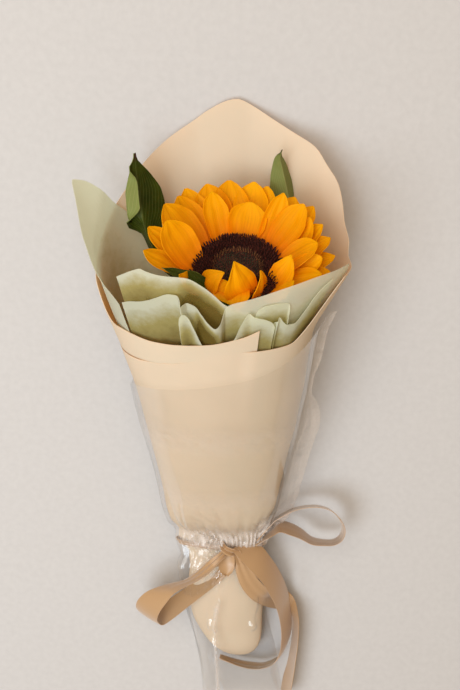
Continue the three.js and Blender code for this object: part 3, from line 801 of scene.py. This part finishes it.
# The front sheet's painted shade: dark below its lip, and sooner in the deep fold at its middle.
front_painted_shade = smooth_curve([(0, 1.5), (0.24, 1.5), (0.3, 3.0), (0.43, 3.0), (0.5, 1.5), (1, 1.45)])
RUFFLE_LIP = [
    (-57, 321, 2), (-50.5, 323.5, 3), (-44.4, 324.7, 4), (-38, 327, 5), (-34.3, 329, 6),
    (-26.8, 332.4, 7.5), (-22.9, 332.2, 7), (-20.4, 329, 4), (-19.5, 325.5, 1.2), (-18.9, 326.8, 4),
    (-17.9, 327.4, 6.5), (-14.4, 325.5, 6.5), (-10.5, 320.2, 4), (-6.9, 314.5, 1.5), (-3.5, 311, 0.4),
    (-1.0, 314.5, 2), (0.3, 320, 5), (1.6, 324.6, 7), (4.5, 327, 7), (11.7, 329.4, 7), (20.8, 332.6, 7),
    (33.5, 337.8, 5.5), (47.5, 341.6, 4), (61, 343.5, 2), (71, 344.5, 0.6), (78, 338, 0)]
# The ruffle's painted shade below its lip: most in the fold left of the middle, and little in the open fold
# at the right.
ruffle_painted_shade = smooth_curve([
    (-57, 1), (-19, 1), (-15, 1.5), (-11, 3.6), (-5, 3.6), (-1, 1.2), (8, 1), (20, 0.5), (78, 0.5)])
ruffle_turn = lip_curves(RUFFLE_LIP)[0]
CURL_LIP = [
    (-21, 306, 0.2), (-20.8, 314, 0.3), (-20.2, 318.5, 0.8), (-18.4, 320.5, 1.6), (-16.4, 318, 2.2),
    (-14.4, 311.5, 1.8), (-12, 303, 1), (-10, 297, 0.4)]
PLEAT_LIP = [
    (2, 299, 3), (5.3, 303, 0.8), (8.6, 312.6, 2.5), (13.1, 320.9, 4.5), (15, 318.6, 3.5),
    (20.3, 316.5, 2), (23.9, 314.2, 1), (25.6, 311, 0.4), (26.0, 311, 4), (26.7, 312.5, 4),
    (27.1, 315, 0.6), (28.6, 317, 2.5), (31, 313.2, 1.4), (33.5, 311, 0.6), (37.5, 311.1, 0.4),
    (42.7, 317.1, 1), (48, 328.5, 1.5), (52.8, 335, 1.6), (57, 338, 1.4)]
TAB_LIP = [
    (15.5, 312, 5), (16.4, 318, 5.2), (17.5, 322.2, 5.5), (21.2, 325.3, 5.8), (29.5, 326.3, 5.6),
    (34.2, 325.4, 5), (34.9, 322, 4), (34.2, 312, 1.6)]

left_sheet = thick(grid_piece(left_tissue, 70, 60), TISSUE_THICKNESS)
front_sheet = tissue_piece(FRONT_LIP, INNER_LAYER, TISSUE_FOOT, 110, 50)
ruffle_sheet = tissue_piece(RUFFLE_LIP, OUTER_LAYER, 120, 240, 50, 0.3)
curl = tissue_piece(CURL_LIP, CURL_LAYER, 190, 50, 40, 0.15)
pleats = tissue_piece(PLEAT_LIP, PLEAT_LAYER, 150, 170, 40, 0.2)
tab = tissue_piece(TAB_LIP, TAB_LAYER, 190, 60, 30, 0.2)
# Each sheet's painted shade below its lip, kept in its UV map.
paint_shade_in_uv(left_sheet, lambda u: 0.27)
paint_shade_in_uv(front_sheet, front_painted_shade, 0.975)
paint_shade_in_uv(ruffle_sheet, lambda u: ruffle_painted_shade(ruffle_turn(u)))
for sheet, name, replaced, flat, held in (
    (left_sheet, "left_tissue_sheet", "tissue_left", (0.085, 0.26), "gathered"),
    (front_sheet, "front_tissue_sheet", "tissue_front", (0.11, 0.23), "gathered"),
    (ruffle_sheet, "ruffle_tissue_sheet", "tissue_ruffle", (0.13, 0.21), "gathered"),
    (curl, "tissue_curl", "tissue_ruffle", (0.017, 0.12), "folded"),
    (pleats, "pleated_tissue_edge", "tissue_ruffle", (0.06, 0.17), "folded"),
    (tab, "tissue_tab", "tissue_ruffle", (0.025, 0.135), "folded"),
):
    settle(sheet, name, tissue_finish, replaced)

# ------------------------
# Paper. One sheet of stiff cream paper, rolled from the inner flap at the front round the left, the back and
# the right and over itself, with one corner of the sheet as the tall back flap. Its foot is closed to a
# round pouch.

PAPER_START, PAPER_SWEEP = 17.5, -487.5
FIRST_INSET, LAST_INSET = 4.5, 2.6
POUCH_FROM, POUCH_LENGTH = 44, 53.8
PAPER_COLUMNS, PAPER_ROWS, PAPER_THICKNESS = 245, 84, 0.4
paper_top = smooth_curve([
    (-470, 284), (-436, 279.5), (-418, 279), (-402, 279.5), (-390, 281), (-377, 284.5), (-364, 290.5),
    (-355, 292.5), (-333, 294), (-321, 295.5), (-312, 303), (-304, 316), (-298, 328), (-292, 337),
    (-280, 338.2), (-268, 338.8), (-260, 340.5), (-252, 349.5), (-244, 359), (-238.5, 371.5),
    (-233, 383), (-224.5, 394.5), (-217.7, 405), (-207, 414), (-198.5, 422), (-192, 429),
    (-187.3, 433.6), (-185, 435), (-182, 434.2), (-174.3, 427.5), (-169, 421), (-163.4, 415),
    (-158, 409), (-152, 401.5), (-146, 393.5), (-140.5, 385.5), (-134.5, 377), (-124.4, 365),
    (-110, 347.5), (-102, 339), (-96, 332.5), (-90, 326.5), (-86, 319.5), (-82, 311.5), (-76, 303),
    (-70, 300.8), (-63, 300.5), (-51.5, 299), (-38, 297), (-28, 296.8), (-20, 297.3), (-6, 299),
    (5, 302.5), (10.4, 304.7), (17.5, 309)])
paper_tail = smooth_curve([(-470, -6.8), (-132, -6.8), (-100, 22), (20, 22)])
# How far the paper is tucked in below its rim, on the flap that lies over the other.
paper_tuck = smooth_curve([
    (-424, 0), (-412, 0.15), (-400, 0.65), (-385, 0.5), (-375, 0.7), (-352, 0.7), (-344, 0)])


def paper_point(u, v):
    degrees = PAPER_START + PAPER_SWEEP * u
    inset = FIRST_INSET + (LAST_INSET - FIRST_INSET) * u
    tail, top = paper_tail(degrees), paper_top(degrees)
    y = tail + (top - tail) * v
    close = math.sqrt(1 - max(0, (POUCH_FROM - y) / POUCH_LENGTH) ** 2)
    waves = math.sin(math.radians(degrees * 11)) + 0.6 * math.sin(math.radians(degrees * 23 + 40))
    pleat = 0.45 * mound(y, 104, 24) * waves
    flare = 2.2 * mound(degrees, -88, 18) * between(y, 262, 307)
    tuck = paper_tuck(degrees) * between(y, top - 60, top - 15)
    return wrap_point(degrees, y, inset + 0.3 - pleat * 0.6 - flare + tuck, inset - 1.3, close)


paper = thick(grid_piece(paper_point, PAPER_COLUMNS, PAPER_ROWS), PAPER_THICKNESS)
finish, tree, shader = mottled("cream_paper", 0.72, 0.25, 24.0, 4.0, [
    (0.3, (0.775, 0.725, 0.575)), (0.7, (0.825, 0.77, 0.615))])
bump(tree, shader, object_noise(tree, 1100.0, 4.0), 0.12, 0.15)
warm = node(tree, "BsdfTranslucent", {"Color": (0.92, 0.55, 0.19, 1)})
surface(tree, layered(tree, 0.4, shader, warm))
settle(paper, "cream_paper_roll", finish, "paper_wrap")

# ------------------------
# Film. One sheet of clear crisp film round the paper, from the right side round the back, the left and the
# front, leaving the cone at the right as a loose fin. It is gathered at the tie and hangs below it as an
# open skirt.

FILM_START, FILM_LEAVES, FILM_SHEET_SHARE = 106, 430, 0.9
FILM_FOOT = -50
FILM_COLUMNS, FILM_ROWS, FILM_THICKNESS = 250, 180, 0.1
CREASE_COUNT, CREASE_LEVEL = 64, 102
KNOT_TURN, KNOT_LEVEL = 367, 103
# How many millimetres one degree round the roll is at the waist.
DEGREE_WIDTH = 0.55
film_top = smooth_curve([
    (106, 314), (140, 306), (180, 300), (225, 274), (264, 247), (291, 256), (326, 261), (356, 268),
    (378, 274), (398, 285), (422, 302), (430, 311)])
# How wide the loose fin is along the bouquet.
film_fin = smooth_curve([
    (-50, 2.5), (84, 2), (96, 0.5), (126, 13.6), (137, 13.8), (153, 14.4), (178, 14.6), (203, 15.3),
    (212, 16.1), (221, 15.3), (230, 13.0), (239, 8.3), (247, 3.5), (258, 3.4), (275, 6.5), (300, 6),
    (314, 4.5)])
# How far the film stands off the cone along its left side.
film_left = smooth_curve([
    (30, 0), (56, 1), (67, 3), (84, 6), (94, 3), (104, 0.5), (122, 0), (180, 0.6), (230, 1.2), (262, 0)])
draws = random.Random(5)
# Each crease: where it starts round the tie, how it slants, its reach above and below, its height and width.
CREASE_SPANS = [(100, 430), (-0.25, 0.25), (12, 60), (25, 120), (-1.3, 1.3), (1.2, 3.5)]
CREASES = [[draws.uniform(*span) for span in CREASE_SPANS] for _ in range(CREASE_COUNT)]
# Small kinks in the skirt that catch the light: their degrees, place, height and reach.
KINKS = [(337, 33, 1.9, 6), (398, 31, 2.2, 6.5), (352, 76, 1.5, 5), (402, 129, 1.5, 5)]
# The long fold down the skirt, in degrees by place.
fold_line = smooth_curve([(-50, 312), (0, 331), (50, 346), (60, 350)])


def film_spot(u, v):
    """A spot's degrees and place along the bouquet, and how far out it is on the fin, from 0 to 1."""
    degrees = FILM_START + (FILM_LEAVES - FILM_START) * min(u / FILM_SHEET_SHARE, 1)
    y = FILM_FOOT + (film_top(degrees) - FILM_FOOT) * (0.75 * v + 0.25 * v * v)
    return degrees, y, max(0, (u - FILM_SHEET_SHARE) / (1 - FILM_SHEET_SHARE))


def film_stand(degrees, y):
    """How far the film stands off the cone by its creases, in millimetres."""
    off = y - CREASE_LEVEL
    stand = 0.0
    for start, slant, above, below, rise, width in CREASES:
        reach = above if off > 0 else below
        if abs(off) < 2 * reach:
            apart = abs(degrees - start - slant * off) / (width * (1 + abs(off) / 40))
            if apart < 4:
                stand += rise * mound(off, 0, reach) * math.exp(-apart)
    low = between(y, 92, 32)
    broad = drift(degrees * 0.035, y * 0.02, 2)
    return stand * (0.5 if abs(off) < 10 else 1) + broad * (0.5 + 2.4 * low) + 0.6 * low


def crumple(degrees, y):
    """Lift and haziness of the crumpled film, each up to about 1: folds that fan out from the knot, a bunched
    band above it and a crumpled side. Its haziness is partly the film's own and partly painted sheen for its
    glints."""
    across, below = (degrees - KNOT_TURN) * DEGREE_WIDTH, y - KNOT_LEVEL
    turn = math.atan2(below, across) + 0.25 * drift(across * 0.1, below * 0.1, 6)
    far = math.hypot(across, below)
    ridge = (1 - abs(math.sin(turn * 13))) ** 2 + 0.5 * (1 - abs(math.sin(turn * 29 + 1))) ** 3
    band = mound(y, 110, 8) * mound(degrees, 360, 72, 6)
    fan = mound(far, 19, 13) * mound(degrees, 316, 36, 4) * (1 if y < 118 else 0.4)
    knot = mound(far, 9, 7)
    side = mound(y, 116, 10) * mound(degrees, 424, 20, 4)
    gather = 0.5 + 0.5 * math.sin(degrees * 0.75 + 3 * drift(degrees * 0.05, y * 0.1, 4))
    lift = max(0.4 * band * gather, ridge * fan, 0.3 * ridge * knot, 0.6 * ridge * side)
    haze_and_sheen_level = max(band * (0.42 + 0.3 * gather), 0.55 * ridge * fan, 0.55 * knot, side * (0.35 + 0.4 * ridge))
    return lift, haze_and_sheen_level


def skirt_fold(degrees, y, width):
    """The long fold down the skirt, 1 on its line and less by degrees to either side."""
    return math.exp(-abs(degrees - fold_line(y)) / width) * between(y, 62, 50)


def kinked(degrees, y):
    """The small kinks and the long fold down the skirt, in millimetres."""
    rise = 0.0
    for turn, place, height, reach in KINKS:
        rise = max(rise, height * (1 - math.hypot((degrees - turn) * DEGREE_WIDTH, y - place) / reach))
    return rise + 1.3 * skirt_fold(degrees, y, 2.2)


def film_point(u, v):
    degrees, y, fin = film_spot(u, v)
    stand = max(-1.0, film_stand(degrees, y)) + film_left(y) * mound(degrees, 270, 32)
    stand += 2.6 * crumple(degrees, y)[0] + kinked(degrees, y)
    reach = film_fin(y) * fin
    ripple = 1.2 * fin * drift(y * 0.035, 4, 1)
    place = wrap_point(degrees, y, -stand, 0.3) + Vector((reach, 0, ripple - 0.45 * reach))
    place.z = max(place.z, 0.1)
    return place


film = grid_piece(film_point, FILM_COLUMNS, FILM_ROWS)
# Haziness per spot: partly the crumpled film's own milkiness, partly painted sheen, reflection and highlight.
haze_and_painted_sheen = film.data.attributes.new("haze_and_painted_sheen", "FLOAT", "POINT")
for index in range(len(haze_and_painted_sheen.data)):
    j, i = divmod(index, FILM_COLUMNS + 1)
    degrees, y, loose = film_spot(i / FILM_COLUMNS, j / FILM_ROWS)
    # The fin's streaks: partly haziness, partly painted reflection of the window light.
    fin_haze_and_painted_reflection = (0.2 * loose + 0.2 * max(0, drift(loose * 6, y * 0.03, 8))) * between(y, 95, 110)
    haze_and_painted_sheen.data[index].value = crumple(degrees, y)[1] + 0.5 * skirt_fold(degrees, y, 2.0) + fin_haze_and_painted_reflection
thick(film, FILM_THICKNESS)

finish, tree, shader = new_finish("clear_film", 0.1, 0.5)
tree.nodes.remove(shader)
gloss = node(tree, "BsdfGlossy", {"Roughness": 0.1, "Color": (1, 1, 1, 1)})
clear = node(tree, "BsdfTransparent", {"Color": (0.985, 0.985, 0.985, 1)})
rim = maths(tree, "POWER", node(tree, "LayerWeight", {"Blend": 0.5}).outputs["Facing"], 4.0)
rim = maths(tree, "MULTIPLY_ADD", rim, 0.7, 0.035, use_clamp=True)
haze_and_sheen_level = node(tree, "Attribute", attribute_name="haze_and_painted_sheen").outputs["Fac"]
milk_and_painted_sheen = maths(tree, "MULTIPLY", spread(tree, object_noise(tree, 130.0, 3.0, Distortion=0.8), 0.2, 0.52), haze_and_sheen_level)
# Milky white where the film is crumpled: partly its own haziness, partly painted sheen.
white = node(tree, "BsdfDiffuse", {"Color": (0.75, 0.68, 0.63, 1)})
surface(tree, layered(tree, maths(tree, "MULTIPLY", milk_and_painted_sheen, 0.8), layered(tree, rim, clear, gloss), white))
settle(film, "clear_film_sheet", finish, "film_wrap")

# ------------------------
# Ribbon. One length of tan satin ribbon, 20 mm wide, tied round the waist. The bow has a large left loop, a
# narrower right loop seen on its edge, a long tail, a shorter one and a small tongue at the knot.

TIE_LEVEL, RIBBON_THICKNESS = 102, 0.35
RIBBON_START, RIBBON_SWEEP = 106, 348
# Each run of the ribbon by its two edges, in millimetres along the bouquet, from the knot outwards.
LEFT_LOOP = (
    [(5.1, 100.4, 27), (-3.5, 96.1, 36), (-12.5, 88.9, 40), (-23, 82.9, 42.5), (-31.4, 79.4, 44),
     (-38.6, 74.7, 45), (-44.7, 65.6, 44), (-49.6, 56.4, 42), (-51.9, 46.4, 38), (-48.8, 38.4, 33),
     (-42.1, 40.6, 30), (-26.5, 53.5, 28), (-8.3, 70, 28), (0.4, 79.4, 28), (5.1, 93.3, 27)],
    [(1.2, 103.7, 26), (-10.2, 96.4, 29), (-20.1, 86.8, 30), (-30.1, 78.4, 30), (-40.7, 75.6, 31),
     (-50.6, 72.7, 32), (-60.3, 67.3, 31), (-67.3, 58.5, 29), (-69, 48.5, 25), (-63.9, 39.2, 20),
     (-56.9, 40.8, 17), (-40.8, 53.2, 16), (-20, 70.3, 18), (-8.9, 81.4, 21), (0.5, 95.6, 25)])
RIGHT_LOOP = (
    [(24.8, 108.9, 24.6), (29.7, 116.1, 25.5), (34.9, 122.6, 25.9), (39, 127.1, 25.8),
     (49.7, 134.3, 26.3), (59.5, 138.1, 26.8), (71.1, 139.2, 27.3), (81.2, 136, 27.8),
     (88.2, 128.4, 27.9), (91.6, 119.6, 28), (89.8, 111.1, 27.6), (84, 106.4, 27.2), (75.4, 105.7, 26.8),
     (66.6, 106.8, 26.9), (57.4, 111.7, 26.4), (49.2, 115, 26.4), (42.5, 117.1, 26), (37.5, 114.1, 25.8),
     (29.6, 108.7, 25.8), (24.3, 103.9, 24.8)],
    [(25.2, 105.1, 15.4), (30.3, 110.9, 12.5), (35.7, 116.2, 10.1), (39.6, 120.5, 10.2),
     (50.1, 127.7, 10.7), (59.7, 131.3, 11.2), (70.9, 132.4, 11.7), (80.6, 129.4, 12.2),
     (87.4, 122, 12.1), (90.6, 113.8, 12), (89, 105.9, 11.4), (83.6, 101.8, 10.8), (75.6, 101.7, 10.2),
     (67.8, 104, 10.1), (60, 110.5, 9.6), (51.4, 115.6, 9.6), (41.5, 117.3, 9), (34.9, 111.5, 9.2),
     (28.4, 105.3, 12.2), (23.7, 101.1, 15.2)])
LONG_TAIL = (
    [(4.8, 103.8, 29), (11.4, 98.7, 33), (17.2, 92.5, 35), (23.8, 85.5, 36), (29.7, 77.5, 35.5),
     (34.3, 67.9, 34), (38.2, 58.7, 32), (41.5, 47.7, 29), (43.7, 36.7, 26), (45.1, 24.9, 23.5),
     (45.4, 14.3, 21.5), (44.4, 2.4, 20), (39.2, -9.6, 19), (29.6, -15.7, 17.5), (19.8, -16.5, 16.5),
     (10.8, -15, 15), (2.7, -12, 14), (-4.5, -9, 13)],
    [(19.7, 104.2, 17.5), (23.1, 103.8, 18), (29.5, 100.8, 21), (34.5, 93.9, 21.5), (39.6, 85.2, 20),
     (44.1, 75.4, 18.5), (47.4, 66, 16), (50.4, 54.5, 13), (52.1, 42.2, 9), (53.7, 29, 6),
     (54.5, 16.7, 4), (53, 2.1, 2), (46.6, -12.8, 2), (33.4, -19.5, 3.6), (21.9, -19, 3.6),
     (12.7, -17, 3.6), (4, -14, 3.6), (-3.5, -11, 3.6)])
SHORT_TAIL = (
    [(3.5, 101.3, 27), (7, 93.5, 30), (9.3, 83.4, 31), (13.6, 70.5, 30.5), (22.3, 56.5, 26.5),
     (33.6, 44, 17), (44.6, 34, 7), (53, 25, 2), (55.2, 12, 1), (55, 1, 0.7), (54.2, -8.1, 0.6),
     (52, -22.7, 0.6), (49, -36.3, 0.6), (47.1, -49.5, 0.6)],
    [(11.9, 103.3, 29), (16.7, 95.4, 30.5), (21.8, 85.6, 30.5), (27.2, 76.1, 29), (36, 63.5, 24),
     (46, 56, 10), (55.5, 46, 8), (59, 33, 17), (59, 18, 20), (58.4, 5, 20.5), (57.5, -5, 20.1),
     (56.1, -20, 20.1), (54.2, -35, 20.1), (52.5, -49.2, 20)])
TONGUE = (
    [(-2.5, 101, 28), (-4.5, 93.5, 32), (-3.4, 87, 33), (1, 82.5, 33)],
    [(7.5, 100, 28), (7.9, 93.5, 32), (6.7, 87.5, 33), (2.5, 82.5, 33)])
KNOT_FOLD = (
    [(-4.5, 104, 24), (-2, 102, 30), (4.5, 98.5, 31), (10, 96, 25)],
    [(-1, 109, 24), (2, 107.5, 30), (9, 104.5, 30), (13.5, 101, 25)])


def ribbon_run(first, second, steps, crown=0.5, pleats=1.3):
    """A run of ribbon between its two edges, crowned across, and pleated where it is drawn in."""
    def point(u, v):
        low, high = route(first, v), route(second, v)
        across = high - low
        up = across.cross(heading(first, v)).normalized()
        pleat = max(0, 1 - across.length / 18) * pleats * math.cos(5 * math.pi * u)
        place = low + across * u + up * (crown * (1 - (2 * u - 1) ** 2) + pleat)
        place.z = max(place.z, 0.35)
        return place
    return grid_piece(point, 10, steps)


def band_point(u, v):
    """The turn of ribbon round the waist, drawn in a little at the front, under the crumpled film."""
    degrees = RIBBON_START + RIBBON_SWEEP * v
    front = mound(degrees, 350, 92, 4)
    pleat = 0.25 * math.cos(u * 6 * math.pi)
    return wrap_point(degrees, TIE_LEVEL + (u - 0.5) * (5 - front), -0.3 + 0.6 * front - pleat, -0.8)


ribbon = joined([
    grid_piece(band_point, 10, 120),
    ribbon_run(*LEFT_LOOP, steps=110),
    ribbon_run(*RIGHT_LOOP, steps=120, crown=0.3),
    ribbon_run(*LONG_TAIL, steps=110, crown=-0.8),
    ribbon_run(*SHORT_TAIL, steps=90),
    ribbon_run(*TONGUE, steps=14, crown=1.8, pleats=0),
    ribbon_run(*KNOT_FOLD, steps=20, crown=1.2),
])
thick(ribbon, RIBBON_THICKNESS)
finish, tree, shader = new_finish("tan_satin", 0.34, 0.5)
place = node(tree, "TexCoord").outputs["Object"]
weave = node(tree, "TexWave", {"Vector": place, "Scale": 900.0, "Distortion": 1.0, "Detail": 1.0})
tree.links.new(ramp(tree, weave.outputs["Fac"], [(0.0, (0.345, 0.20, 0.09)), (1.0, (0.425, 0.26, 0.13))]),
               shader.inputs["Base Color"])
shader.inputs["Sheen Weight"].default_value = 0.35
shader.inputs["Coat Weight"].default_value = 0.35
shader.inputs["Coat Roughness"].default_value = 0.38
shader.inputs["Anisotropic"].default_value = 0.4
bump(tree, shader, weave.outputs["Fac"], 0.15, 0.1)
settle(ribbon, "satin_ribbon", finish, "ribbon")
